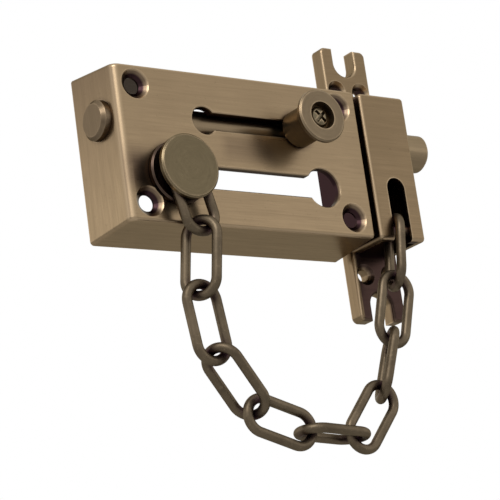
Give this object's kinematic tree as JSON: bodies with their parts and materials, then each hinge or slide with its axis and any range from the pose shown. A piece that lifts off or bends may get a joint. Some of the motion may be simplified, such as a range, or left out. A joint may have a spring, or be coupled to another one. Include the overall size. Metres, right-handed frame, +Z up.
{
  "type": "door bolt",
  "caption": "Surface-mounted sliding door bolt with a security chain on a keyhole button and a keeper with forked ends.",
  "frame": {"origin": "middle of the case's four screw holes, on the plane where the case and the keeper rest on the door and its frame", "axes": "+X along the bolt towards the keeper, the front looks to -Y, +Z up"},
  "size_m": [0.1025, 0.0275, 0.1145],
  "materials": {
    "case_metal": "satin",
    "rod_metal": "satin",
    "knob_metal": "satin",
    "button_metal": "satin",
    "keeper_metal": "satin",
    "screw_metal": "satin",
    "pin_metal": "satin",
    "chain_metal": "satin"
  },
  "bodies": {
    "mounting": {"case": "case_metal", "keeper": "keeper_metal", "keeper_pin": "pin_metal"},
    "bolt": {"bolt_rod": "rod_metal", "knob": "knob_metal", "knob_screw": "screw_metal"},
    "button": {"chain_button": "button_metal"},
    "chain_link_01": {"chain_link_01": "chain_metal"},
    "chain_link_02": {"chain_link_02": "chain_metal"},
    "chain_link_03": {"chain_link_03": "chain_metal"},
    "chain_link_04": {"chain_link_04": "chain_metal"},
    "chain_link_05": {"chain_link_05": "chain_metal"},
    "chain_link_06": {"chain_link_06": "chain_metal"},
    "chain_link_07": {"chain_link_07": "chain_metal"},
    "chain_link_08": {"chain_link_08": "chain_metal"},
    "chain_link_09": {"chain_link_09": "chain_metal"},
    "chain_link_10": {"chain_link_10": "chain_metal"}
  },
  "joints": [
    {"name": "bolt_slide", "type": "slide", "parent": "mounting", "child": "bolt", "axis": [1, 0, 0], "range_m": [-0.0283, 0]},
    {"name": "button_slide", "type": "slide", "parent": "mounting", "child": "button", "axis": [1, 0, 0], "range_m": [0, 0.045]},
    {"name": "chain_link_01_swing", "type": "hinge", "parent": "button", "child": "chain_link_01", "pos_m": [-0.0224, -0.0201, -0.0075], "axis": [0, -1, 0], "range_deg": [-12.52, 0]},
    {"name": "chain_link_02_swing", "type": "hinge", "parent": "chain_link_01", "child": "chain_link_02", "pos_m": [-0.01939, -0.0201, -0.02014], "axis": [0, -1, 0], "range_deg": [0, 6.7]},
    {"name": "chain_link_03_swing", "type": "hinge", "parent": "chain_link_02", "child": "chain_link_03", "pos_m": [-0.02175, -0.01892, -0.03885], "axis": [0, -1, 0], "range_deg": [-18.68, 0]},
    {"name": "chain_link_04_swing", "type": "hinge", "parent": "chain_link_03", "child": "chain_link_04", "pos_m": [-0.02016, -0.01892, -0.0519], "axis": [0, -1, 0], "range_deg": [-8.67, 0]},
    {"name": "chain_link_05_swing", "type": "hinge", "parent": "chain_link_04", "child": "chain_link_05", "pos_m": [-0.00892, -0.01774, -0.06704], "axis": [0, -1, 0], "range_deg": [0, 22.35]},
    {"name": "chain_link_06_swing", "type": "hinge", "parent": "chain_link_05", "child": "chain_link_06", "pos_m": [0.00361, -0.01774, -0.07103], "axis": [0, -1, 0], "range_deg": [0, 15.19]},
    {"name": "chain_link_07_swing", "type": "hinge", "parent": "chain_link_06", "child": "chain_link_07", "pos_m": [0.02244, -0.01656, -0.0721], "axis": [0, -1, 0], "range_deg": [0, 12.57]},
    {"name": "chain_link_08_swing", "type": "hinge", "parent": "chain_link_07", "child": "chain_link_08", "pos_m": [0.03088, -0.01656, -0.06203], "axis": [0, -1, 0], "range_deg": [0, 5.94]},
    {"name": "chain_link_09_swing", "type": "hinge", "parent": "chain_link_08", "child": "chain_link_09", "pos_m": [0.03839, -0.01538, -0.04473], "axis": [0, -1, 0], "range_deg": [0, 0.58]},
    {"name": "chain_link_10_swing", "type": "hinge", "parent": "chain_link_09", "child": "chain_link_10", "pos_m": [0.04226, -0.01538, -0.03217], "axis": [0, -1, 0], "range_deg": [0, 0.36]}
  ],
  "couplings": [
    {"joint": "chain_link_01_swing", "follows": "button_slide", "rad_per_m": -4.838},
    {"joint": "chain_link_02_swing", "follows": "button_slide", "rad_per_m": 2.581},
    {"joint": "chain_link_03_swing", "follows": "button_slide", "rad_per_m": -7.225},
    {"joint": "chain_link_04_swing", "follows": "button_slide", "rad_per_m": -3.345},
    {"joint": "chain_link_05_swing", "follows": "button_slide", "rad_per_m": 8.65},
    {"joint": "chain_link_06_swing", "follows": "button_slide", "rad_per_m": 5.873},
    {"joint": "chain_link_07_swing", "follows": "button_slide", "rad_per_m": 4.857},
    {"joint": "chain_link_08_swing", "follows": "button_slide", "rad_per_m": 2.285},
    {"joint": "chain_link_09_swing", "follows": "button_slide", "rad_per_m": 0.204},
    {"joint": "chain_link_10_swing", "follows": "button_slide", "rad_per_m": 0.119}
  ]
}
